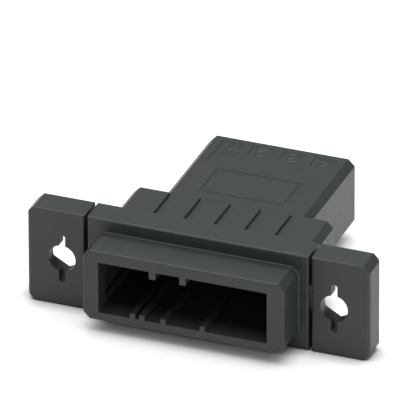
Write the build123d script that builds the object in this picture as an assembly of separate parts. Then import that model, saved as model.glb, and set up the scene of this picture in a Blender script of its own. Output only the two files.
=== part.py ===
from build123d import *
import os

# Four-way feed-through connector for a panel cut-out: one moulded housing with a screw
# flange, and four crimp contacts whose flat tabs reach into the plug cavity at its front.
#
# Millimetres. X runs along the flange, Y goes back through the panel and Z is up. The
# origin is the middle of the flange's front face, halfway between the two screw holes.

# Flange: a middle plate and two ears, each cut free of it by a narrow slit.
flange_width = 41.5
flange_height = 12.1
flange_thickness = 3.6
ear_chamfer = 0.8
ear_outer_radius = 0.5
middle_plate_width = 26.8
slit_width = 0.35
slit_web_setback = 1.6
slit_web_inset = 1.2

# Screw holes: a round hole with two relief slots in front, a nut pocket behind.
screw_spacing = 33.0
screw_hole_diameter = 3.3
relief_slot_width = 0.78
relief_slot_length = 6.1
screw_seat_thickness = 1.45
nut_pocket_across_flats = 5.6

# Body: the shroud in front of the flange and the collar behind it are one section.
body_width = 24.35
body_height = 8.85
body_chamfer = 0.77
shroud_length = 4.55
shroud_root_radius = 0.15
collar_length = 8.3
collar_back_radius = 0.7

# Grooves that cut the collar's top into lands.
groove_count = 5
groove_pitch = 3.68
groove_width = 0.85
groove_depth = 0.38

# Rear block, which holds the contact chambers, a step lower than the collar on top.
rear_width = 17.7
rear_length = 15.35
rear_step = 0.62
rear_top_chamfer = 0.79
rear_bottom_chamfer = 0.5

# Shallow recesses for marks on the rear block's top.
mark_depth = 0.07
number_pad_width = 2.6
number_pad_length = 2.2
number_pad_gap = 1.0
letter_pad_gap = 0.5
label_width = 10.45
label_length = 5.85
label_gap = 1.55
label_border = 0.35

# Plug cavity, its guide ribs and the pockets that the plug's side latches snap into.
cavity_width = 20.4
cavity_height = 6.43
cavity_depth = 14.0
cavity_shift = -0.1
cavity_drop = 0.18
floor_rib_places = (-6.15, -5.04, -2.46, 2.3)
floor_rib_width = 0.66
floor_rib_height = 0.63
roof_rib_places = (-3.74, -0.07)
roof_rib_width = 0.8
roof_rib_height = 0.93
latch_lip = 2.2
latch_pocket_length = 8.5
latch_pocket_depth = 0.5
latch_sill = 1.05

# Contact chambers.
contact_count = 4
contact_pitch = 3.81
partition_thickness = 2.0
chamber_width = 2.9
chamber_height = 3.9
chamber_floor_drop = 1.95
chamber_lead_in = 0.4
slot_clearance = 0.08

# Contacts, stamped and folded from one strip.
sheet_thickness = 0.35
contact_side_clearance = 0.12
tab_width = 1.8
tab_reach = 8.0
tab_bevel_length = 0.45
tab_bevel_height = 0.25
nose_length = 1.2
nose_shoulder = 0.3
box_length = 4.8
box_height = 3.1
lance_window_gap = 0.12
lance_width = 1.2
lance_offset = 1.0
lance_length = 2.6
lance_rise = 1.15
lance_end_gap = 0.15
wire_barrel_length = 3.4
wire_barrel_width = 2.1
wire_barrel_height = 2.7
neck_length = 0.9
neck_width = 1.7
sleeve_barrel_length = 2.8
sleeve_barrel_width = 2.5
sleeve_barrel_height = 3.4

# Mould radii on outer edges and on the small edges inside.
edge_radius = 0.2
fine_radius = 0.12

# Planes that several pieces share, measured along Y, and levels along Z.
mouth_y = -shroud_length
flange_back_y = flange_thickness
collar_back_y = flange_thickness + collar_length
rear_end_y = collar_back_y + rear_length
partition_front_y = mouth_y + cavity_depth
partition_back_y = partition_front_y + partition_thickness
body_top_z = body_height / 2
rear_top_z = body_top_z - rear_step
floor_z = -cavity_drop - cavity_height / 2
roof_z = -cavity_drop + cavity_height / 2
chamber_floor_z = -chamber_floor_drop
tab_thickness = 2 * sheet_thickness
box_width = chamber_width - 2 * contact_side_clearance
box_front_y = partition_back_y + nose_length
box_back_y = box_front_y + box_length
lance_end_y = box_front_y + lance_offset + lance_length
contact_places = [(n - (contact_count - 1) / 2) * contact_pitch for n in range(contact_count)]


def along_y(profile, start, end):
    """Extrude a profile drawn in X and Z from one depth to another."""
    return extrude(Plane.XZ.offset(-start) * profile, amount=end - start, dir=(0, 1, 0))


def block(x_low, x_high, y_low, y_high, z_low, z_high):
    """A plain box between six planes."""
    size = (x_high - x_low, y_high - y_low, z_high - z_low)
    middle = ((x_low + x_high) / 2, (y_low + y_high) / 2, (z_low + z_high) / 2)
    return Pos(*middle) * Box(*size)


def cut_corner_profile(x_low, x_high, z_low, z_high, cuts):
    """A rectangle with its corners cut at 45 degrees.

    The cuts run from the lower left corner anticlockwise, and a cut of 0 leaves a corner.
    """
    corners = ((x_low, z_low, 1, 1), (x_high, z_low, -1, 1),
               (x_high, z_high, -1, -1), (x_low, z_high, 1, -1))
    points = []
    for (x, z, inward_x, inward_z), cut in zip(corners, cuts):
        along_x = (x + inward_x * cut, z)
        along_z = (x, z + inward_z * cut)
        if cut == 0:
            points.append((x, z))
        elif inward_x * inward_z > 0:
            points.extend((along_z, along_x))
        else:
            points.extend((along_x, along_z))
    return make_face(Polyline(*points, close=True))


def mirrored(piece):
    """A piece and its mirror image on the other side of the middle."""
    return [piece, mirror(piece, about=Plane.YZ)]


def ear():
    """The right-hand ear, a plate with its two outer corners cut and its outer side rounded."""
    inner_x = middle_plate_width / 2 + slit_width
    cuts = (0, ear_chamfer, ear_chamfer, 0)
    profile = cut_corner_profile(inner_x, flange_width / 2, -flange_height / 2, flange_height / 2, cuts)
    plate = along_y(profile, 0, flange_back_y)
    plate = fillet(plate.edges().filter_by(Axis.Z).group_by(Axis.X)[-1], ear_outer_radius)
    upright = plate.edges().filter_by(Axis.Z)
    smooth = upright.filter_by_position(Axis.X, flange_width / 2 - ear_chamfer, flange_width / 2)
    slit_ends = plate.edges().filter_by(Axis.Y).group_by(Axis.X)[0]
    return fillet(plate.edges() - smooth - slit_ends, edge_radius)


def middle_plate():
    """The flange's middle, which the body passes through."""
    half = middle_plate_width / 2
    plate = block(-half, half, 0, flange_back_y, -flange_height / 2, flange_height / 2)
    slit_ends = plate.edges().filter_by(Axis.Y)
    return fillet(plate.edges() - slit_ends, edge_radius)


def slit_web():
    """The thin wall that joins the right-hand ear to the middle plate, deep in the slit."""
    half = middle_plate_width / 2
    overlap = edge_radius * 2
    reach = flange_height / 2 - slit_web_inset
    return block(half - overlap, half + slit_width + overlap,
                 slit_web_setback, flange_back_y - edge_radius, -reach, reach)


def body():
    """The shroud and collar in one length, with the collar's grooves and rounded back edge."""
    profile = cut_corner_profile(-body_width / 2, body_width / 2, -body_top_z, body_top_z,
                                 [body_chamfer] * 4)
    solid = along_y(profile, mouth_y, collar_back_y)
    back_edges = solid.edges().group_by(Axis.Y)[-1]
    solid = fillet(solid.edges() - back_edges, edge_radius)
    solid = fillet(solid.faces().sort_by(Axis.Y)[-1].edges(), collar_back_radius)
    solid = solid - land_grooves()
    land_edges = solid.edges().filter_by(Axis.Y).group_by(Axis.Z)[-1]
    inner_edges = land_edges.filter_by_position(Axis.X, -groove_pitch * groove_count / 2,
                                                groove_pitch * groove_count / 2)
    return fillet(inner_edges, fine_radius)


def land_grooves():
    """The grooves between the collar's lands, which run out over its rounded back edge."""
    cuts = []
    for n in range(groove_count):
        x = (n - (groove_count - 1) / 2) * groove_pitch
        cuts.append(block(x - groove_width / 2, x + groove_width / 2, flange_back_y - edge_radius,
                          rear_end_y, body_top_z - groove_depth, body_height))
    return cuts


def shroud_on_plate():
    """The body through the middle plate, with a small radius round the shroud's root."""
    solid = body() + middle_plate()
    root = solid.edges().filter_by_position(Axis.Y, -fine_radius / 10, fine_radius / 10)
    root = root.filter_by_position(Axis.X, -body_width / 2, body_width / 2)
    root = root.filter_by_position(Axis.Z, -body_top_z, body_top_z)
    return fillet(root, shroud_root_radius)


def rear_block():
    """The block behind the collar, flush with the body underneath."""
    cuts = (rear_bottom_chamfer, rear_bottom_chamfer, rear_top_chamfer, rear_top_chamfer)
    profile = cut_corner_profile(-rear_width / 2, rear_width / 2, -body_top_z, rear_top_z, cuts)
    start = collar_back_y - collar_length / 2
    solid = along_y(profile, start, rear_end_y)
    radius = min(edge_radius, rear_bottom_chamfer / 2)
    return fillet(solid.faces().sort_by(Axis.Y)[-1].edges(), radius)


def screw_hole():
    """The right-hand screw hole: round with two slots in front, a hexagon for the nut behind."""
    x = screw_spacing / 2
    slot = SlotOverall(relief_slot_length, relief_slot_width, rotation=90)
    hole = Circle(screw_hole_diameter / 2) + slot
    nut = RegularPolygon(nut_pocket_across_flats / 2, 6, major_radius=False, rotation=30)
    front = along_y(Pos(x, 0) * hole, -flange_thickness, flange_back_y)
    pocket = along_y(Pos(x, 0) * nut, screw_seat_thickness, flange_back_y * 2)
    return front + pocket


def cavity():
    """The plug cavity with its side latch pockets, less the guide ribs."""
    half = cavity_width / 2
    left = cavity_shift - half
    right = cavity_shift + half
    pocket_y = mouth_y + latch_lip
    space = block(left, right, mouth_y - shroud_length, partition_front_y, floor_z, roof_z)
    space += block(left - latch_pocket_depth, right + latch_pocket_depth,
                   pocket_y, pocket_y + latch_pocket_length, floor_z + latch_sill, roof_z)
    space -= guide_ribs(floor_rib_places, floor_rib_width, floor_z, floor_rib_height)
    space -= guide_ribs(roof_rib_places, roof_rib_width, roof_z, -roof_rib_height)
    return space


def guide_ribs(places, width, root_z, height):
    """Ribs along the cavity, with rounded tops, from the mouth to the partition."""
    ribs = []
    for x in places:
        low, high = sorted((root_z - height, root_z + height))
        rib = block(x - width / 2, x + width / 2, mouth_y, partition_front_y, low, high)
        long_edges = rib.edges().filter_by(Axis.Y)
        ribs.append(fillet(long_edges, fine_radius))
    return ribs


def chamber(x):
    """One contact chamber, with the slot for its tab and the pocket that its lance catches in."""
    half = chamber_width / 2
    roof = chamber_floor_z + chamber_height
    slot_half = tab_width / 2 + slot_clearance
    slot_top = tab_thickness / 2 + slot_clearance
    lance_top = chamber_floor_z + box_height + lance_rise + lance_end_gap
    main = block(x - half, x + half, partition_back_y, rear_end_y * 2, chamber_floor_z, roof)
    slot = block(x - slot_half, x + slot_half, partition_front_y - partition_thickness,
                 partition_back_y + nose_length, -slot_top, slot_top)
    lance_pocket = block(x - half, x + half, partition_back_y, lance_end_y + lance_end_gap,
                         chamber_floor_z, lance_top)
    return main + slot + lance_pocket


def chamber_mouth(x):
    """The sloped lead-in round one chamber's rear mouth."""
    middle_z = chamber_floor_z + chamber_height / 2
    outer = Rectangle(chamber_width + 2 * chamber_lead_in, chamber_height + 2 * chamber_lead_in)
    inner = Rectangle(chamber_width, chamber_height)
    back = Plane.XZ.offset(-rear_end_y) * Pos(x, middle_z)
    front = Plane.XZ.offset(chamber_lead_in - rear_end_y) * Pos(x, middle_z)
    return loft([back * outer, front * inner])


def mark_recesses():
    """Shallow pads for the way numbers, one letter pad and a border round the label."""
    pads_y = rear_end_y - number_pad_gap - number_pad_length / 2
    letter_y = pads_y - number_pad_length - letter_pad_gap
    label_y = letter_y - number_pad_length / 2 - label_gap - label_length / 2
    pad = Rectangle(number_pad_width, number_pad_length)
    marks = [Pos(x, pads_y) * pad for x in contact_places]
    marks.append(Pos(contact_places[0], letter_y) * pad)
    outer = Rectangle(label_width, label_length)
    inner = Rectangle(label_width - 2 * label_border, label_length - 2 * label_border)
    marks.append(Pos(0, label_y) * (outer - inner))
    return [extrude(Pos(0, 0, rear_top_z - mark_depth) * mark, amount=rear_step) for mark in marks]


def housing():
    """The whole moulding."""
    solid = shroud_on_plate() + rear_block() + mirrored(ear()) + mirrored(slit_web())
    solid = solid - mirrored(screw_hole()) - cavity() - mark_recesses()
    for x in contact_places:
        solid = solid - chamber(x) - chamber_mouth(x)
    return solid


def open_barrel(x, width, height, start, end):
    """A crimp barrel that is still open: a channel with a round bottom."""
    outer_radius = width / 2
    inner_radius = outer_radius - sheet_thickness
    centre_z = chamber_floor_z + outer_radius
    top_z = chamber_floor_z + height
    wall = Rectangle(width, top_z - centre_z, align=(Align.CENTER, Align.MIN))
    gap = Rectangle(width - 2 * sheet_thickness, height, align=(Align.CENTER, Align.MIN))
    outer = Circle(outer_radius) + wall
    inner = Circle(inner_radius) + gap
    return along_y(Pos(x, centre_z) * (outer - inner), start, end)


def contact_nose(x):
    """The taper that closes the box down to a shoulder round the tab."""
    box_middle_z = chamber_floor_z + box_height / 2
    root = Plane.XZ.offset(-box_front_y) * Pos(x, box_middle_z) * Rectangle(box_width, box_height)
    small = Rectangle(tab_width + 2 * nose_shoulder, tab_thickness + 2 * nose_shoulder)
    tip = Plane.XZ.offset(-partition_back_y) * Pos(x, 0) * small
    return loft([tip, root])


def contact_tab(x):
    """The flat tab, two thicknesses of strip, bevelled at its tip."""
    tip_y = partition_front_y - tab_reach
    tab = block(x - tab_width / 2, x + tab_width / 2, tip_y, partition_back_y + nose_length / 2,
                -tab_thickness / 2, tab_thickness / 2)
    tip = tab.faces().sort_by(Axis.Y)[0]
    return chamfer(tip.edges().filter_by(Axis.X), tab_bevel_height, tab_bevel_length)


def contact_box(x):
    """The folded box behind the nose, with its lance cut free on top."""
    half = box_width / 2
    top_z = chamber_floor_z + box_height
    inner_half = half - sheet_thickness
    tube = block(x - half, x + half, box_front_y, box_back_y, chamber_floor_z, top_z)
    tube -= block(x - inner_half, x + inner_half, box_front_y + sheet_thickness, box_back_y,
                  chamber_floor_z + sheet_thickness, top_z - sheet_thickness)
    tube -= block(x - lance_width / 2 - lance_window_gap, x + lance_width / 2 + lance_window_gap,
                  box_front_y + lance_offset, lance_end_y + lance_window_gap,
                  top_z - 2 * sheet_thickness, top_z + sheet_thickness)
    return tube + lance(x)


def lance(x):
    """The tongue cut from the box's top and bent up, which stops the contact from pulling out."""
    root_y = box_front_y + lance_offset - sheet_thickness
    top_z = chamber_floor_z + box_height
    side = make_face(Polyline((root_y, top_z - sheet_thickness), (lance_end_y, top_z + lance_rise - sheet_thickness),
                              (lance_end_y, top_z + lance_rise), (root_y, top_z), close=True))
    return extrude(Plane.YZ.offset(x - lance_width / 2) * side, amount=lance_width)


def contact(x):
    """One whole contact, seated on the chamber floor with its nose against the partition."""
    wire_start = box_back_y + neck_length
    wire_end = wire_start + wire_barrel_length
    sleeve_start = wire_end + neck_length
    sleeve_end = sleeve_start + sleeve_barrel_length
    strip = block(x - neck_width / 2, x + neck_width / 2, box_back_y - sheet_thickness, sleeve_end,
                  chamber_floor_z, chamber_floor_z + sheet_thickness)
    solid = contact_tab(x) + contact_nose(x) + contact_box(x) + strip
    solid += open_barrel(x, wire_barrel_width, wire_barrel_height, wire_start, wire_end)
    solid += open_barrel(x, sleeve_barrel_width, sleeve_barrel_height, sleeve_start, sleeve_end)
    return solid


def write(name, piece):
    """Save one piece as a named part file."""
    piece.label = name
    export_step(piece, os.path.join("parts", name + ".step"))


os.makedirs("parts", exist_ok=True)
write("housing", housing())
for number, place in enumerate(contact_places, start=1):
    write("contact_" + str(number), contact(place))
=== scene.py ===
import math

import bmesh
import bpy
from bpy.props import FloatProperty, FloatVectorProperty, IntProperty, PointerProperty
from mathutils import Matrix, Vector


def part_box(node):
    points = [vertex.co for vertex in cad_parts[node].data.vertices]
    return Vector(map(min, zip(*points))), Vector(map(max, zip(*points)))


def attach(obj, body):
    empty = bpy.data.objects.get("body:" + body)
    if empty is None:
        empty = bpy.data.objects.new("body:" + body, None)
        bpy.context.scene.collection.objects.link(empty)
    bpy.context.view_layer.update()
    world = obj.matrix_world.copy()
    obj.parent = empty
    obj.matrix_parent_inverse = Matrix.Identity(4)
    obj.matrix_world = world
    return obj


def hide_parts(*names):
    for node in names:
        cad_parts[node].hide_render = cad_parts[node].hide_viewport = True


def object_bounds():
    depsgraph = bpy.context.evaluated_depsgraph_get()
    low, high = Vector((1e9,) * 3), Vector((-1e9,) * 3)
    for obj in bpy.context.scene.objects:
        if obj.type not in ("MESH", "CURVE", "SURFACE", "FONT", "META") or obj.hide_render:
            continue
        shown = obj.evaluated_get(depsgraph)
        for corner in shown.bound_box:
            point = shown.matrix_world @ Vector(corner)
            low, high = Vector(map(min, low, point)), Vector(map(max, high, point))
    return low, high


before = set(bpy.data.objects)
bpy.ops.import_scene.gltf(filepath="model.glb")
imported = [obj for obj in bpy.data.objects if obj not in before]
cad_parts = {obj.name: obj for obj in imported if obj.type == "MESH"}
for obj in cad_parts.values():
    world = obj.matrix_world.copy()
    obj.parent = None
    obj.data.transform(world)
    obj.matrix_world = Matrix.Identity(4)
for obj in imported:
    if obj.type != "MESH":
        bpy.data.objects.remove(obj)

bl_info = {
    "name": "Feed-through connector",
    "version": (1, 0, 0),
    "blender": (4, 5, 0),
    "location": "3D View > Sidebar > Connector",
    "description": "Finishes a four-way panel connector and sets it on a studio table",
    "category": "Object",
}

MM = 0.001
PHOTO_WIDTH = 408
SENSOR_WIDTH = 36.0
WHITE = (1.0, 1.0, 1.0, 1.0)
# Points closer than the first are joined; no side of a rounded section is shorter than the second.
WELD_DISTANCE = 0.0001 * MM
SHORTEST_FLAT = 0.002 * MM
# Straight pieces that the round bottom of a barrel is made of.
BARREL_STEPS = 10
# Shares of the sheet's thickness: what a barrel's wing keeps at its tip, and how far the tip slants.
WING_TIP = 0.55
WING_SLANT = 0.15
CONTACT_NODES = ("contact_1", "contact_2", "contact_3", "contact_4")
CAD_LOW, CAD_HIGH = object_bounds()
CONTACT_BOX = [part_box(name) for name in CONTACT_NODES]
CONTACT_PITCH = CONTACT_BOX[1][0].x - CONTACT_BOX[0][0].x
# Where the gate and the ejector pins stood underneath, in millimetres.
GATE_PLACE = (0.0, 15.5)
PIN_PLACES = [(x, y) for y in (7.5, 15.5, 25.0) for x in (-7.0, 0.0, 7.0) if (x, y) != GATE_PLACE]


class PlasticFinish(bpy.types.PropertyGroup):
    """The moulded plastic of the housing."""

    colour: FloatVectorProperty(name="Colour", description="Main colour of the plastic",
                                subtype="COLOR", min=0, max=1, default=(0.031, 0.039, 0.037))
    pale_colour: FloatVectorProperty(name="Pale colour", description="Colour of its faint lighter clouds",
                                     subtype="COLOR", min=0, max=1, default=(0.036, 0.044, 0.042))
    roughness: FloatProperty(name="Roughness", description="Roughness between the grains",
                             subtype="FACTOR", min=0, max=1, default=0.43)
    refraction: FloatProperty(name="Refractive index", description="Sets how strong its gloss is",
                              min=1, default=1.5)
    grain_size: FloatProperty(name="Grain size", description="Size of the mould's spark-eroded grain",
                              subtype="DISTANCE", min=0, default=0.09 * MM)
    grain_depth: FloatProperty(name="Grain depth", description="Height of that grain",
                               subtype="DISTANCE", min=0, default=0.004 * MM)
    grain_strength: FloatProperty(name="Grain strength", description="How much of the grain the light shows",
                                  subtype="FACTOR", min=0, max=1, default=0.35)
    edge_softness: FloatProperty(name="Edge softness",
                                 description="Radius over which the light rounds sharp edges",
                                 subtype="DISTANCE", min=0, default=0.1 * MM)
    cloud_size: FloatProperty(name="Cloud size", description="Size of the clouds of colour",
                              subtype="DISTANCE", min=0, default=3.5 * MM)
    sheen_size: FloatProperty(name="Sheen size", description="Size of the patches of varied gloss",
                              subtype="DISTANCE", min=0, default=0.875 * MM)
    smoother: FloatProperty(name="Smoother", description="How much less rough the glossiest patches are",
                            min=0, max=1, default=0.02)
    rougher: FloatProperty(name="Rougher", description="How much rougher the dullest patches are",
                           min=0, max=1, default=0.03)


class NumberSizes(bpy.types.PropertyGroup):
    """The raised way numbers on the rear block."""

    height: FloatProperty(name="Height", description="Height of a digit",
                          subtype="DISTANCE", min=0, default=1.75 * MM)
    width: FloatProperty(name="Width", description="Width of a digit",
                         subtype="DISTANCE", min=0, default=1.3 * MM)
    stroke: FloatProperty(name="Stroke", description="Width of a digit's stroke at its foot",
                          subtype="DISTANCE", min=0, default=0.38 * MM)
    stroke_top: FloatProperty(name="Stroke top", description="Width of a digit's stroke on top",
                              subtype="DISTANCE", min=0, default=0.1 * MM)
    relief: FloatProperty(name="Relief", description="How far the digits stand out of their pads",
                          subtype="DISTANCE", min=0, default=0.1 * MM)
    foot: FloatProperty(name="Foot", description="How far the digits reach below their pads' floors",
                        subtype="DISTANCE", min=0, default=0.03 * MM)
    pad_level: FloatProperty(name="Pad level", description="Height of the pads' floors",
                             subtype="DISTANCE", default=3.735 * MM)
    row: FloatProperty(name="Row", description="Distance of the digits' middles behind the flange's front",
                       subtype="DISTANCE", default=25.15 * MM)


class ContactFinish(bpy.types.PropertyGroup):
    """The stamped contacts and their plating."""

    colour: FloatVectorProperty(name="Colour", description="Colour of the tin plating",
                                subtype="COLOR", min=0, max=1, default=(0.66, 0.645, 0.61))
    tarnish: FloatVectorProperty(name="Tarnish", description="Colour where the plating is dull",
                                 subtype="COLOR", min=0, max=1, default=(0.5, 0.475, 0.42))
    roughness: FloatProperty(name="Roughness", description="Roughness of the plating",
                             subtype="FACTOR", min=0, max=1, default=0.28)
    smoother: FloatProperty(name="Smoother", description="How much less rough its smoothest lines are",
                            min=0, max=1, default=0.06)
    rougher: FloatProperty(name="Rougher", description="How much rougher its roughest lines are",
                           min=0, max=1, default=0.1)
    patch_size: FloatProperty(name="Patch size", description="Size of the dull patches",
                              subtype="DISTANCE", min=0, default=MM / 0.9)
    rolling_size: FloatProperty(name="Rolling size", description="Distance between the rolling marks",
                                subtype="DISTANCE", min=0, default=MM / 9)
    rolling_ratio: FloatProperty(name="Rolling ratio", description="Width of a rolling mark over its length",
                                 subtype="FACTOR", min=0, max=1, default=0.06)
    rolling_depth: FloatProperty(name="Rolling depth", description="Depth of the rolling marks",
                                 subtype="DISTANCE", min=0, default=0.0015 * MM)
    rolling_strength: FloatProperty(name="Rolling strength",
                                    description="How much of the rolling marks the light shows",
                                    subtype="FACTOR", min=0, max=1, default=0.2)
    count: IntProperty(name="Count", description="Number of contacts", min=1, default=len(CONTACT_NODES))
    pitch: FloatProperty(name="Pitch", description="Distance from one contact to the next",
                         subtype="DISTANCE", min=0, default=CONTACT_PITCH)
    sheet: FloatProperty(name="Sheet", description="Thickness of the strip they are stamped from",
                         subtype="DISTANCE", min=0, default=0.35 * MM)
    tab_width: FloatProperty(name="Tab width", description="Width of the tab",
                             subtype="DISTANCE", min=0, default=1.8 * MM)
    box_width: FloatProperty(name="Box width", description="Width of the box",
                             subtype="DISTANCE", min=0, default=2.66 * MM)
    box_height: FloatProperty(name="Box height", description="Height of the box",
                              subtype="DISTANCE", min=0, default=3.1 * MM)
    lance_width: FloatProperty(name="Lance width", description="Width of the tongue on top of the box",
                               subtype="DISTANCE", min=0, default=1.2 * MM)
    wire_radius: FloatProperty(name="Wire radius", description="Outer radius of the barrel for the bare wire",
                               subtype="DISTANCE", min=0, default=1.05 * MM)
    sleeve_radius: FloatProperty(name="Sleeve radius",
                                 description="Outer radius of the barrel for the wire's sleeve",
                                 subtype="DISTANCE", min=0, default=1.24 * MM)
    groove_depth: FloatProperty(name="Groove depth", description="Depth of the wire barrel's grooves",
                                subtype="DISTANCE", min=0, default=0.07 * MM)


class MouldMarks(bpy.types.PropertyGroup):
    """The witness marks that ejector pins and the gate leave underneath."""

    pin_diameter: FloatProperty(name="Pin diameter", description="Diameter of an ejector pin's mark",
                                subtype="DISTANCE", min=0, default=1.6 * MM)
    gate_diameter: FloatProperty(name="Gate diameter", description="Diameter of the gate's stub",
                                 subtype="DISTANCE", min=0, default=0.9 * MM)
    relief: FloatProperty(name="Relief", description="How far the marks stand out",
                          subtype="DISTANCE", min=0, default=0.035 * MM)
    level: FloatProperty(name="Level", description="Height of the underside they stand on",
                         subtype="DISTANCE", default=-4.425 * MM)


class StageSettings(bpy.types.PropertyGroup):
    """Floor, lamps and camera."""

    floor_size: FloatProperty(name="Floor size", description="Side of the square floor",
                              subtype="DISTANCE", min=0, default=6.0)
    floor_colour: FloatVectorProperty(name="Floor colour", description="Colour of the floor",
                                      subtype="COLOR", min=0, max=1, default=(0.7, 0.7, 0.7))
    floor_glow: FloatProperty(name="Floor glow",
                              description="White added to the floor as the camera and gloss see it",
                              min=0, default=0.58)
    # These three shape a painted shadow: the floor's glow dims by ambient occlusion round the object's foot.
    contact_shade: FloatProperty(name="Contact shade",
                                 description="How far the close shade round the foot reaches",
                                 subtype="DISTANCE", min=0, default=2.5 * MM)
    shade_dark: FloatProperty(name="Shade dark", description="Share of open sky where the floor's glow ends",
                              subtype="FACTOR", min=0, max=1, default=0.35)
    shade_clear: FloatProperty(name="Shade clear", description="Share of open sky where the glow is full",
                               subtype="FACTOR", min=0, max=1, default=0.95)
    surround_front: FloatProperty(name="Surround in front", description="Strength of the even light in front",
                                  min=0, default=0.04)
    surround_back: FloatProperty(name="Surround behind", description="Strength of the even light behind",
                                 min=0, default=0.3)
    surround_blend: FloatProperty(name="Surround blend",
                                  description="Share of the way to front or back where it stops changing",
                                  min=0, max=1, default=0.6)
    gloss_front: FloatProperty(name="Gloss in front", description="Brightness that gloss shows of the front",
                               min=0, default=1.0)
    gloss_back: FloatProperty(name="Gloss behind", description="Brightness that gloss shows of the back",
                              min=0, default=0.15)
    gloss_blend: FloatProperty(name="Gloss blend",
                               description="Share of the way to front or back where it stops changing",
                               min=0, max=1, default=0.4)
    top_strength: FloatProperty(name="Top strength", description="Brightness of the soft box overhead",
                                min=0, default=2.5)
    top_size: FloatProperty(name="Top size", description="Side of the soft box overhead",
                            subtype="DISTANCE", min=0, default=0.5)
    top_place: FloatVectorProperty(name="Top place", description="Where the soft box hangs",
                                   subtype="TRANSLATION", default=(0.0, 0.05, 0.4))
    back_strength: FloatProperty(name="Back strength", description="Brightness of the panel behind",
                                 min=0, default=0.25)
    back_size: FloatProperty(name="Back size", description="Side of the panel behind",
                             subtype="DISTANCE", min=0, default=0.35)
    back_place: FloatVectorProperty(name="Back place", description="Where the panel behind stands",
                                    subtype="TRANSLATION", default=(-0.2, 0.49, 0.3))
    side_strength: FloatProperty(name="Side strength", description="Brightness of the panel on the right",
                                 min=0, default=1.5)
    side_width: FloatProperty(name="Side width", description="Width of the low panel on the right",
                              subtype="DISTANCE", min=0, default=0.4)
    side_height: FloatProperty(name="Side height", description="Height of the low panel on the right",
                               subtype="DISTANCE", min=0, default=0.12)
    side_place: FloatVectorProperty(name="Side place", description="Where the panel on the right stands",
                                    subtype="TRANSLATION", default=(0.35, -0.08, 0.06))
    azimuth: FloatProperty(name="Azimuth", description="How far round to the right the camera stands",
                           subtype="ANGLE", default=math.radians(21.19))
    elevation: FloatProperty(name="Elevation", description="How far above the floor it looks from",
                             subtype="ANGLE", default=math.radians(28.70))
    roll: FloatProperty(name="Roll", description="Turn about its own line of sight",
                        subtype="ANGLE", default=math.radians(-0.21))
    distance: FloatProperty(name="Distance", description="Distance from the point it looks at",
                            subtype="DISTANCE", min=0, default=1.5195)
    aim: FloatVectorProperty(name="Aim", description="Point of the object the framing is measured from",
                             subtype="TRANSLATION", default=(0.0, 7.62 * MM, 0.0))
    shift_right: FloatProperty(name="Shift right", description="How far the camera slides to the right",
                               subtype="DISTANCE", default=-2.016 * MM)
    shift_up: FloatProperty(name="Shift up", description="How far the camera slides up",
                            subtype="DISTANCE", default=5.58 * MM)
    focal_pixels: FloatProperty(name="Focal length", description="Focal length in pixels of the photograph",
                                min=1, default=13376.7)


def link(name, data):
    """Put a new object into the scene and return it."""
    made = bpy.data.objects.new(name, data)
    bpy.context.scene.collection.objects.link(made)
    return made


def place_piece(piece, slot_name, *nodes):
    """Let a piece ride on the body and hide the CAD nodes it stands in for; its slot name is not used."""
    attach(piece, "root")
    if nodes:
        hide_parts(*nodes)


def new_material(name):
    """A material with an empty tree, and the tree."""
    material = bpy.data.materials.new(name)
    material.use_nodes = True
    material.node_tree.nodes.clear()
    return material, material.node_tree


def add_node(tree, kind, **values):
    """Add a node and set its properties; its inputs are values, or sockets to link from."""
    node = tree.nodes.new(kind)
    inputs = values.pop("inputs", {})
    for key, value in values.items():
        setattr(node, key, value)
    for key, value in inputs.items():
        if isinstance(value, bpy.types.NodeSocket):
            tree.links.new(value, node.inputs[key])
        else:
            node.inputs[key].default_value = value
    return node


def opaque(colour):
    """A colour with full alpha."""
    return (*colour, 1.0)


def noise_on(tree, size, detail, ratio=1):
    """Noise of a given size that sits on the object; along Y its grains are as long as size over ratio."""
    place = add_node(tree, "ShaderNodeTexCoord")
    turn = add_node(tree, "ShaderNodeMapping",
                    inputs={"Vector": place.outputs["Object"], "Scale": (1, ratio, 1)})
    noise = add_node(tree, "ShaderNodeTexNoise",
                     inputs={"Vector": turn.outputs["Vector"], "Scale": 1 / size, "Detail": detail})
    return noise.outputs["Fac"]


def ranged(tree, source, low, high, start=0.3, end=0.7):
    """Map a range of a source, by default a noise's middle, onto two other values and hold its ends."""
    node = add_node(tree, "ShaderNodeMapRange",
                    inputs={"Value": source, "From Min": start, "From Max": end, "To Min": low,
                            "To Max": high})
    return node.outputs["Result"]


def mixed_colour(tree, factor, first, second):
    """Blend two plain colours by a factor."""
    node = add_node(tree, "ShaderNodeMix", data_type="RGBA",
                    inputs={"Factor": factor, "A": opaque(first), "B": opaque(second)})
    return node.outputs["Result"]


def plastic_material(finish):
    """Dark moulded plastic: faint clouds of colour, a fine eroded grain and softly varied gloss."""
    material, tree = new_material("moulded_plastic")
    clouds = ranged(tree, noise_on(tree, finish.cloud_size, detail=3), 0, 1)
    sheen = ranged(tree, noise_on(tree, finish.sheen_size, detail=4),
                   finish.roughness - finish.smoother, finish.roughness + finish.rougher)
    edges = add_node(tree, "ShaderNodeBevel", samples=6, inputs={"Radius": finish.edge_softness})
    bump = add_node(tree, "ShaderNodeBump",
                    inputs={"Strength": finish.grain_strength, "Distance": finish.grain_depth,
                            "Height": noise_on(tree, finish.grain_size, detail=2),
                            "Normal": edges.outputs["Normal"]})
    shader = add_node(tree, "ShaderNodeBsdfPrincipled",
                      inputs={"Base Color": mixed_colour(tree, clouds, finish.colour, finish.pale_colour),
                              "Roughness": sheen, "IOR": finish.refraction,
                              "Normal": bump.outputs["Normal"]})
    add_node(tree, "ShaderNodeOutputMaterial", inputs={"Surface": shader.outputs["BSDF"]})
    return material


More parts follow.
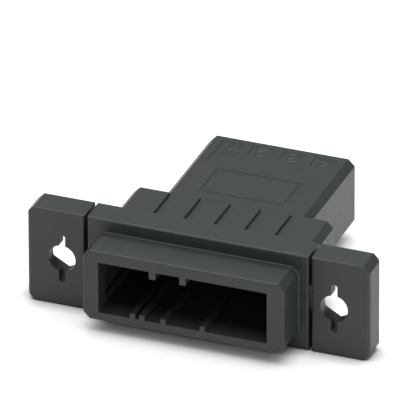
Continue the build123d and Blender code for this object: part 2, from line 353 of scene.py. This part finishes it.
def plated_material(finish):
    """Tin-plated strip with fine rolling marks along its length and duller patches."""
    material, tree = new_material("tin_plating")
    patches = ranged(tree, noise_on(tree, finish.patch_size, detail=3), 0, 1, start=0.4, end=0.75)
    rolling = noise_on(tree, finish.rolling_size, detail=2, ratio=finish.rolling_ratio)
    sheen = ranged(tree, rolling, finish.roughness - finish.smoother, finish.roughness + finish.rougher)
    bump = add_node(tree, "ShaderNodeBump",
                    inputs={"Strength": finish.rolling_strength, "Distance": finish.rolling_depth,
                            "Height": rolling})
    shader = add_node(tree, "ShaderNodeBsdfPrincipled",
                      inputs={"Base Color": mixed_colour(tree, patches, finish.colour, finish.tarnish),
                              "Metallic": 1.0, "Roughness": sheen, "Normal": bump.outputs["Normal"]})
    add_node(tree, "ShaderNodeOutputMaterial", inputs={"Surface": shader.outputs["BSDF"]})
    return material


def housing_plastic(scene):
    """The plastic of the housing and its marks, made the first time it is asked for."""
    return bpy.data.materials.get("moulded_plastic") or plastic_material(scene.connector_plastic)


class GeometryRecipe:
    """A Geometry Nodes tree under construction, with named inputs."""

    def __init__(self, name):
        self.tree = bpy.data.node_groups.new(name, "GeometryNodeTree")
        self.tree.interface.new_socket(name="Geometry", in_out="INPUT", socket_type="NodeSocketGeometry")
        self.tree.interface.new_socket(name="Geometry", in_out="OUTPUT", socket_type="NodeSocketGeometry")
        self.start = self.tree.nodes.new("NodeGroupInput")
        self.end = self.tree.nodes.new("NodeGroupOutput")
        self.values = {}

    def ask(self, name, kind, value):
        """Add a named input and remember the value that the modifier gives it."""
        socket = self.tree.interface.new_socket(name=name, in_out="INPUT", socket_type=kind)
        self.values[socket.identifier] = value
        return self.start.outputs[name]

    def node(self, kind, **values):
        """Add a node to this tree."""
        return add_node(self.tree, kind, **values)

    def finish(self, geometry, material_socket):
        """End the tree in real geometry that has its material."""
        real = self.node("GeometryNodeRealizeInstances", inputs={"Geometry": geometry})
        dressed = self.node("GeometryNodeSetMaterial",
                            inputs={"Geometry": real.outputs["Geometry"], "Material": material_socket})
        self.tree.links.new(dressed.outputs["Geometry"], self.end.inputs["Geometry"])

    def bake(self, host, name):
        """Run the tree on a host object, keep the result as a plain mesh and drop the host."""
        modifier = host.modifiers.new("recipe", "NODES")
        modifier.node_group = self.tree
        for identifier, value in self.values.items():
            modifier[identifier] = value
        graph = bpy.context.evaluated_depsgraph_get()
        mesh = bpy.data.meshes.new_from_object(host.evaluated_get(graph))
        if not mesh.polygons:
            raise RuntimeError(name + " came out empty")
        mesh.name = name
        bpy.data.objects.remove(host)
        return link(name, mesh)


def shade(piece, angle):
    """Smooth shading that keeps edges sharper than the angle, given in degrees."""
    for face in piece.data.polygons:
        face.use_smooth = True
    piece.data.set_sharp_from_angle(angle=math.radians(angle))


def loft(work, rings):
    """Join rings of equally many points into one shell, with flat ends."""
    loops = [[work.verts.new(point) for point in ring] for ring in rings]
    count = len(loops[0])
    for one, other in zip(loops, loops[1:]):
        for i in range(count):
            j = (i + 1) % count
            work.faces.new((one[i], one[j], other[j], other[i]))
    work.faces.new(loops[0])
    work.faces.new(reversed(loops[-1]))


def rounded_ring(y, width, z_low, z_high, radius, steps=4):
    """A rectangle with round corners, across the Y axis."""
    radius = min(radius, (width - SHORTEST_FLAT) / 2, (z_high - z_low - SHORTEST_FLAT) / 2)
    ring = []
    corners = ((1, 1), (-1, 1), (-1, -1), (1, -1))
    for quarter, (side_x, side_z) in enumerate(corners):
        centre_x = side_x * (width / 2 - radius)
        centre_z = (z_high if side_z > 0 else z_low) - side_z * radius
        for step in range(steps + 1):
            angle = math.pi / 2 * (quarter + step / steps)
            ring.append(Vector((centre_x + radius * math.cos(angle), y,
                                centre_z + radius * math.sin(angle))))
    return ring


def channel_ring(y, floor_z, outer_radius, thickness, top_z, flare, groove=0.0):
    """An open barrel's section: a round bottom, straight wings that flare out and thin at the top."""
    centre_z = floor_z + outer_radius
    inner_radius = outer_radius - thickness + groove
    outer, inner = [], []
    for step in range(BARREL_STEPS + 1):
        angle = math.pi * (1 + step / BARREL_STEPS)
        for side, radius in ((outer, outer_radius), (inner, inner_radius)):
            side.append(Vector((radius * math.cos(angle), y, centre_z + radius * math.sin(angle))))
    left_tip = Vector((-outer_radius - flare, y, top_z))
    right_tip = Vector((outer_radius + flare, y, top_z))
    left_in = left_tip + Vector((thickness * WING_TIP, 0, -thickness * WING_SLANT))
    right_in = right_tip + Vector((-thickness * WING_TIP, 0, -thickness * WING_SLANT))
    return [left_tip, *outer, right_tip, right_in, *reversed(inner), left_in]


def contact_shell(work, floor_z, sizes):
    """Tab, nose and box in one shell, hollow from the back."""
    sheet = sizes.sheet
    roof_z = floor_z + sizes.box_height
    # Each section is a width, a lowest and a highest Z, and a corner radius.
    tip = (1.15 * MM, -0.1 * MM, 0.1 * MM, 0.08 * MM)
    shoulder = (1.72 * MM, -sheet, sheet, 0.14 * MM)
    tab = (sizes.tab_width, -sheet, sheet, 0.16 * MM)
    nose = (2.36 * MM, -0.64 * MM, 0.64 * MM, 0.2 * MM)
    box = (sizes.box_width, floor_z, roof_z, 0.3 * MM)
    hollow = (sizes.box_width - 2 * sheet, floor_z + sheet, roof_z - sheet, 0.12 * MM)
    stations = ((1.45, tip), (1.9, shoulder), (2.1, tab), (11.2, tab), (11.45, nose), (12.65, box),
                (17.45, box), (17.45, hollow), (13.0, hollow))
    loft(work, [rounded_ring(y * MM, *section) for y, section in stations])


def contact_strip(work, floor_z, sizes):
    """The flat strip that joins the box and both barrels."""
    rings = []
    for y, width in ((17.1, 1.6), (17.5, 1.7), (21.6, 1.7), (22.0, 1.7), (25.15, 1.7), (25.3, 1.5)):
        rings.append(rounded_ring(y * MM, width * MM, floor_z, floor_z + sizes.sheet,
                                  radius=0.06 * MM, steps=2))
    loft(work, rings)


def wire_barrel(work, floor_z, sizes):
    """The barrel that is crimped on the bare wire, with three sharp grooves across its inside."""
    depth = sizes.groove_depth
    stations = [(18.35, 0.0)]
    for start in (18.9, 19.9, 20.9):
        stations += [(start, 0.0), (start + 0.05, depth), (start + 0.2, depth), (start + 0.25, 0.0)]
    stations.append((21.75, 0.0))
    top_z = floor_z + 2.7 * MM
    flare = 0.16 * MM
    loft(work, [channel_ring(y * MM, floor_z, sizes.wire_radius, sizes.sheet, top_z, flare, groove)
                for y, groove in stations])


def sleeve_barrel(work, floor_z, sizes):
    """The wider barrel that holds the wire's sleeve, a little open towards the back."""
    rings = []
    for y, flare, top in ((22.65, 0.02, 3.1), (22.95, 0.03, 3.4), (25.1, 0.06, 3.4), (25.45, 0.06, 3.15)):
        rings.append(channel_ring(y * MM, floor_z, sizes.sleeve_radius, sizes.sheet, floor_z + top * MM,
                                  flare * MM))
    loft(work, rings)


def lance(work, floor_z, sizes):
    """The tongue on top of the box that catches in the housing."""
    rings = []
    for y, rise in ((13.3, 0.0), (13.8, 0.1), (14.8, 0.5), (16.25, 1.15)):
        high = floor_z + sizes.box_height + rise * MM
        rings.append(rounded_ring(y * MM, sizes.lance_width, high - sizes.sheet, high,
                                  radius=0.07 * MM, steps=2))
    loft(work, rings)


def one_contact_mesh(sizes):
    """One contact, standing where X is 0."""
    work = bmesh.new()
    for part in (contact_shell, contact_strip, wire_barrel, sleeve_barrel, lance):
        part(work, CONTACT_BOX[0][0].z, sizes)
    bmesh.ops.remove_doubles(work, verts=work.verts, dist=WELD_DISTANCE)
    bmesh.ops.recalc_face_normals(work, faces=work.faces)
    mesh = bpy.data.meshes.new("one_contact")
    work.to_mesh(mesh)
    work.free()
    return mesh


# Strokes of each digit inside a box one wide and one high; a stroke ends at every sharp corner.
DIGITS = {
    1: (((0.18, 0.72), (0.52, 1.0)),
        ((0.52, 1.0), (0.52, 0.0))),
    2: (((0.06, 0.76), (0.2, 0.93), (0.5, 1.0), (0.8, 0.93), (0.93, 0.73), (0.82, 0.5), (0.06, 0.0)),
        ((0.0, 0.0), (0.98, 0.0))),
    3: (((0.08, 0.88), (0.3, 0.99), (0.62, 0.99), (0.86, 0.89), (0.88, 0.69), (0.7, 0.56), (0.42, 0.53)),
        ((0.42, 0.53), (0.72, 0.5), (0.93, 0.35), (0.9, 0.13), (0.65, 0.01), (0.3, 0.01), (0.06, 0.12))),
    4: (((0.74, 0.0), (0.74, 1.0)),
        ((0.74, 1.0), (0.05, 0.3)),
        ((0.0, 0.3), (0.98, 0.3))),
}


def digit_lines(sizes, centres):
    """Centre lines of all the digits, read from behind, as one curve object."""
    curve = bpy.data.curves.new("digit_lines", "CURVE")
    curve.dimensions = "3D"
    level = sizes.pad_level + (sizes.relief - sizes.foot) / 2
    for strokes, centre in zip(DIGITS.values(), centres):
        for stroke in strokes:
            spline = curve.splines.new("POLY")
            spline.points.add(len(stroke) - 1)
            for point, (u, v) in zip(spline.points, stroke):
                x = centre - (u - 0.5) * sizes.width
                y = sizes.row - (v - 0.5) * sizes.height
                point.co = (x, y, level, 1)
    return link("digit_lines", curve)


def finish_housing(scene):
    """Give the moulding its plastic."""
    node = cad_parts["housing"]
    node.data.materials.clear()
    node.data.materials.append(housing_plastic(scene))


def add_way_numbers(scene):
    """Raised digits in the number pads: a stroke with sloped sides swept along each digit's lines."""
    sizes = scene.connector_numbers
    centres = [(low.x + high.x) / 2 for low, high in CONTACT_BOX]
    recipe = GeometryRecipe("Raised digits")
    stroke = recipe.ask("Stroke", "NodeSocketFloat", sizes.stroke)
    stroke_top = recipe.ask("Stroke top", "NodeSocketFloat", sizes.stroke_top)
    relief = recipe.ask("Relief", "NodeSocketFloat", sizes.relief + sizes.foot)
    finish = recipe.ask("Material", "NodeSocketMaterial", housing_plastic(scene))
    line = recipe.node("GeometryNodeFilletCurve", mode="POLY",
                       inputs={"Curve": recipe.start.outputs["Geometry"], "Count": 3,
                               "Radius": stroke, "Limit Radius": True})
    # Along a flat line the section's Y axis points down, so its bottom edge is the stroke's top.
    section = recipe.node("GeometryNodeCurvePrimitiveQuadrilateral", mode="TRAPEZOID",
                          inputs={"Bottom Width": stroke_top, "Top Width": stroke, "Height": relief,
                                  "Offset": 0.0})
    swept = recipe.node("GeometryNodeCurveToMesh",
                        inputs={"Curve": line.outputs["Curve"],
                                "Profile Curve": section.outputs["Curve"], "Fill Caps": True})
    joined = recipe.node("GeometryNodeMeshBoolean", operation="UNION", solver="EXACT",
                         inputs={"Mesh 2": swept.outputs["Mesh"], "Self Intersection": True})
    recipe.finish(joined.outputs["Mesh"], finish)
    numbers = recipe.bake(digit_lines(sizes, centres), "way_numbers")
    shade(numbers, angle=60)
    place_piece(numbers, "housing_plastic")


def add_contacts(scene):
    """Folded contacts, one mesh repeated along the row."""
    settings = scene.connector_contacts
    single = link("one_contact", one_contact_mesh(settings))
    first = (CONTACT_BOX[0][0].x + CONTACT_BOX[0][1].x) / 2
    recipe = GeometryRecipe("Row of contacts")
    contact = recipe.ask("Contact", "NodeSocketObject", single)
    count = recipe.ask("Count", "NodeSocketInt", settings.count)
    start = recipe.ask("First", "NodeSocketVector", (first, 0.0, 0.0))
    step = recipe.ask("Step", "NodeSocketVector", (settings.pitch, 0.0, 0.0))
    finish = recipe.ask("Material", "NodeSocketMaterial", plated_material(settings))
    row = recipe.node("GeometryNodeMeshLine",
                      inputs={"Count": count, "Start Location": start, "Offset": step})
    shape = recipe.node("GeometryNodeObjectInfo", inputs={"Object": contact, "As Instance": True})
    placed = recipe.node("GeometryNodeInstanceOnPoints",
                         inputs={"Points": row.outputs["Mesh"], "Instance": shape.outputs["Geometry"]})
    recipe.finish(placed.outputs["Instances"], finish)
    contacts = recipe.bake(link("contact_row", bpy.data.meshes.new("contact_row")), "contacts")
    bpy.data.objects.remove(single)
    shade(contacts, angle=40)
    place_piece(contacts, "contact_metal", *CONTACT_NODES)


def place_marks(recipe, mark, finish, name, places):
    """Repeat a mark at each of the places, as one piece of the housing."""
    mesh = bpy.data.meshes.new(name + "_places")
    mesh.from_pydata(places, [], [])
    placed = recipe.node("GeometryNodeInstanceOnPoints",
                         inputs={"Points": recipe.start.outputs["Geometry"], "Instance": mark})
    recipe.finish(placed.outputs["Instances"], finish)
    marks = recipe.bake(link(name + "_places", mesh), name)
    shade(marks, angle=60)
    place_piece(marks, "housing_plastic")


def add_ejector_marks(sizes, material):
    """Low rings that the ejector pins leave underneath."""
    recipe = GeometryRecipe("Ejector marks")
    radius = recipe.ask("Radius", "NodeSocketFloat", sizes.pin_diameter / 2)
    relief = recipe.ask("Relief", "NodeSocketFloat", sizes.relief)
    finish = recipe.ask("Material", "NodeSocketMaterial", material)
    ring = recipe.node("GeometryNodeCurvePrimitiveCircle", inputs={"Resolution": 32, "Radius": radius})
    bead = recipe.node("GeometryNodeCurvePrimitiveCircle", inputs={"Resolution": 8, "Radius": relief})
    swept = recipe.node("GeometryNodeCurveToMesh",
                        inputs={"Curve": ring.outputs["Curve"], "Profile Curve": bead.outputs["Curve"]})
    places = [(x * MM, y * MM, sizes.level) for x, y in PIN_PLACES]
    place_marks(recipe, swept.outputs["Mesh"], finish, "ejector_marks", places)


def add_gate_stub(sizes, material):
    """The low disc that is left where the gate was cut off."""
    recipe = GeometryRecipe("Gate stub")
    radius = recipe.ask("Radius", "NodeSocketFloat", sizes.gate_diameter / 2)
    foot_radius = recipe.ask("Foot radius", "NodeSocketFloat", sizes.gate_diameter / 2 + sizes.relief)
    height = recipe.ask("Height", "NodeSocketFloat", 2 * sizes.relief)
    finish = recipe.ask("Material", "NodeSocketMaterial", material)
    disc = recipe.node("GeometryNodeMeshCone",
                       inputs={"Vertices": 32, "Radius Bottom": radius, "Radius Top": foot_radius,
                               "Depth": height})
    x, y = GATE_PLACE
    place_marks(recipe, disc.outputs["Mesh"], finish, "gate_stub",
                [(x * MM, y * MM, sizes.level - sizes.relief)])


def add_mould_marks(scene):
    """The rings of the ejector pins and the stub of the gate between them."""
    material = housing_plastic(scene)
    add_ejector_marks(scene.connector_marks, material)
    add_gate_stub(scene.connector_marks, material)


def combined(tree, operation, first, second):
    """One arithmetic operation on two sockets."""
    node = add_node(tree, "ShaderNodeMath", operation=operation, inputs={0: first, 1: second})
    return node.outputs["Value"]


def floor_material(settings):
    """A pale table: its diffuse part takes the object's real shadow, its glow is painted darker round the
    object's foot, and the camera and gloss see it near white.
    """
    material, tree = new_material("table")
    path = add_node(tree, "ShaderNodeLightPath")
    # Ambient occlusion dims the glow where the object is close: a painted shadow round its foot, added to the
    # real one.
    near = add_node(tree, "ShaderNodeAmbientOcclusion", samples=24,
                    inputs={"Distance": settings.contact_shade})
    glow_with_painted_shade = ranged(tree, near.outputs["AO"], 0.0, settings.floor_glow,
                       start=settings.shade_dark, end=settings.shade_clear)
    seen = combined(tree, "MAXIMUM", path.outputs["Is Camera Ray"], path.outputs["Is Glossy Ray"])
    seen = combined(tree, "MAXIMUM", seen, path.outputs["Is Transmission Ray"])
    glow = add_node(tree, "ShaderNodeEmission",
                    inputs={"Color": WHITE, "Strength": combined(tree, "MULTIPLY", seen, glow_with_painted_shade)})
    diffuse = add_node(tree, "ShaderNodeBsdfDiffuse", inputs={"Color": opaque(settings.floor_colour)})
    both = add_node(tree, "ShaderNodeAddShader",
                    inputs={0: diffuse.outputs["BSDF"], 1: glow.outputs["Emission"]})
    add_node(tree, "ShaderNodeOutputMaterial", inputs={"Surface": both.outputs["Shader"]})
    return material


def set_world(settings):
    """Even light, dimmer in front than behind, and white where the camera looks past the floor."""
    world = bpy.data.worlds.new("studio")
    world.use_nodes = True
    tree = world.node_tree
    tree.nodes.clear()
    path = add_node(tree, "ShaderNodeLightPath")
    place = add_node(tree, "ShaderNodeTexCoord")
    axes = add_node(tree, "ShaderNodeSeparateXYZ", inputs={"Vector": place.outputs["Generated"]})
    even = ranged(tree, axes.outputs["Y"], settings.surround_front, settings.surround_back,
                  start=-settings.surround_blend, end=settings.surround_blend)
    gloss = ranged(tree, axes.outputs["Y"], settings.gloss_front, settings.gloss_back,
                   start=-settings.gloss_blend, end=settings.gloss_blend)
    level = add_node(tree, "ShaderNodeMix", data_type="FLOAT",
                     inputs={"Factor": path.outputs["Is Glossy Ray"], "A": even, "B": gloss})
    light = add_node(tree, "ShaderNodeBackground",
                     inputs={"Color": WHITE, "Strength": level.outputs["Result"]})
    white = add_node(tree, "ShaderNodeBackground", inputs={"Color": WHITE, "Strength": 1.0})
    mix = add_node(tree, "ShaderNodeMixShader",
                   inputs={0: path.outputs["Is Camera Ray"], 1: light.outputs["Background"],
                           2: white.outputs["Background"]})
    add_node(tree, "ShaderNodeOutputWorld", inputs={"Surface": mix.outputs["Shader"]})
    bpy.context.scene.world = world


def add_panel_lamp(name, place, width, height, brightness):
    """A lamp with a bright rectangular face that looks at the object."""
    lamp = bpy.data.lights.new(name, "AREA")
    lamp.shape = "RECTANGLE"
    lamp.size = width
    lamp.size_y = height
    lamp.energy = brightness * math.pi * width * height
    made = link(name, lamp)
    made.location = place
    made.rotation_mode = "QUATERNION"
    made.rotation_quaternion = (-Vector(place)).to_track_quat("-Z", "Y")


def add_floor(settings):
    """The table the flange stands on."""
    half = settings.floor_size / 2
    corners = [(x, y, CAD_LOW.z) for x, y in ((-half, -half), (half, -half), (half, half), (-half, half))]
    mesh = bpy.data.meshes.new("table")
    mesh.from_pydata(corners, [], [(0, 1, 2, 3)])
    mesh.materials.append(floor_material(settings))
    link("table", mesh)


def add_camera(settings):
    """The camera of the photograph, far away with a long lens."""
    azimuth, elevation, roll = settings.azimuth, settings.elevation, settings.roll
    back = Vector((math.sin(azimuth) * math.cos(elevation), -math.cos(azimuth) * math.cos(elevation),
                   math.sin(elevation)))
    right = Vector((math.cos(azimuth), math.sin(azimuth), 0))
    up = back.cross(right)
    turned_right = right * math.cos(roll) + up * math.sin(roll)
    turned_up = up * math.cos(roll) - right * math.sin(roll)
    data = bpy.data.cameras.new("photo_camera")
    data.sensor_width = SENSOR_WIDTH
    data.lens = SENSOR_WIDTH * settings.focal_pixels / PHOTO_WIDTH
    data.clip_start = 0.01
    data.clip_end = 20.0
    camera = link("photo_camera", data)
    place = (Vector(settings.aim) + back * settings.distance + turned_right * settings.shift_right
             + turned_up * settings.shift_up)
    turn = Matrix((turned_right, turned_up, back)).transposed()
    camera.matrix_world = Matrix.Translation(place) @ turn.to_4x4()
    bpy.context.scene.camera = camera


def set_stage(scene):
    """Floor, light and camera."""
    settings = scene.connector_stage
    add_camera(settings)
    add_floor(settings)
    set_world(settings)
    add_panel_lamp("top_box", settings.top_place, settings.top_size, settings.top_size,
                   settings.top_strength)
    add_panel_lamp("back_panel", settings.back_place, settings.back_size, settings.back_size,
                   settings.back_strength)
    add_panel_lamp("side_panel", settings.side_place, settings.side_width, settings.side_height,
                   settings.side_strength)
    scene.view_settings.view_transform = "Standard"


class CONNECTOR_OT_housing(bpy.types.Operator):
    """Give the housing its moulded plastic"""

    bl_idname = "connector.finish_housing"
    bl_label = "Finish housing"

    def execute(self, context):
        finish_housing(context.scene)
        return {"FINISHED"}


class CONNECTOR_OT_numbers(bpy.types.Operator):
    """Add the raised way numbers"""

    bl_idname = "connector.add_way_numbers"
    bl_label = "Add way numbers"

    def execute(self, context):
        add_way_numbers(context.scene)
        return {"FINISHED"}


class CONNECTOR_OT_contacts(bpy.types.Operator):
    """Add the row of plated contacts"""

    bl_idname = "connector.add_contacts"
    bl_label = "Add contacts"

    def execute(self, context):
        add_contacts(context.scene)
        return {"FINISHED"}


class CONNECTOR_OT_marks(bpy.types.Operator):
    """Add the marks that the mould leaves underneath"""

    bl_idname = "connector.add_mould_marks"
    bl_label = "Add mould marks"

    def execute(self, context):
        add_mould_marks(context.scene)
        return {"FINISHED"}


class CONNECTOR_OT_stage(bpy.types.Operator):
    """Set up the floor, the lamps and the camera"""

    bl_idname = "connector.set_stage"
    bl_label = "Set stage"

    def execute(self, context):
        set_stage(context.scene)
        return {"FINISHED"}


class CONNECTOR_PT_panel(bpy.types.Panel):
    """Lists the pieces and their sizes."""

    bl_idname = "CONNECTOR_PT_panel"
    bl_label = "Feed-through connector"
    bl_space_type = "VIEW_3D"
    bl_region_type = "UI"
    bl_category = "Connector"

    def draw(self, context):
        for name, settings, operator in SECTIONS:
            box = self.layout.box()
            box.operator(operator)
            group = getattr(context.scene, name)
            for key in settings.__annotations__:
                box.prop(group, key)


SECTIONS = (
    ("connector_stage", StageSettings, CONNECTOR_OT_stage.bl_idname),
    ("connector_plastic", PlasticFinish, CONNECTOR_OT_housing.bl_idname),
    ("connector_numbers", NumberSizes, CONNECTOR_OT_numbers.bl_idname),
    ("connector_contacts", ContactFinish, CONNECTOR_OT_contacts.bl_idname),
    ("connector_marks", MouldMarks, CONNECTOR_OT_marks.bl_idname),
)
CLASSES = (PlasticFinish, NumberSizes, ContactFinish, MouldMarks, StageSettings, CONNECTOR_OT_housing,
           CONNECTOR_OT_numbers, CONNECTOR_OT_contacts, CONNECTOR_OT_marks, CONNECTOR_OT_stage,
           CONNECTOR_PT_panel)


def register():
    """Make the settings, the operators and the panel known."""
    for item in CLASSES:
        bpy.utils.register_class(item)
    for name, settings, _ in SECTIONS:
        setattr(bpy.types.Scene, name, PointerProperty(type=settings))


def unregister():
    """Take them away again."""
    for name, _, _ in SECTIONS:
        delattr(bpy.types.Scene, name)
    for item in reversed(CLASSES):
        bpy.utils.unregister_class(item)


def main():
    """Make the whole scene."""
    register()
    bpy.ops.connector.set_stage()
    bpy.ops.connector.finish_housing()
    bpy.ops.connector.add_way_numbers()
    bpy.ops.connector.add_contacts()
    bpy.ops.connector.add_mould_marks()


if __name__ == "__main__":
    main()
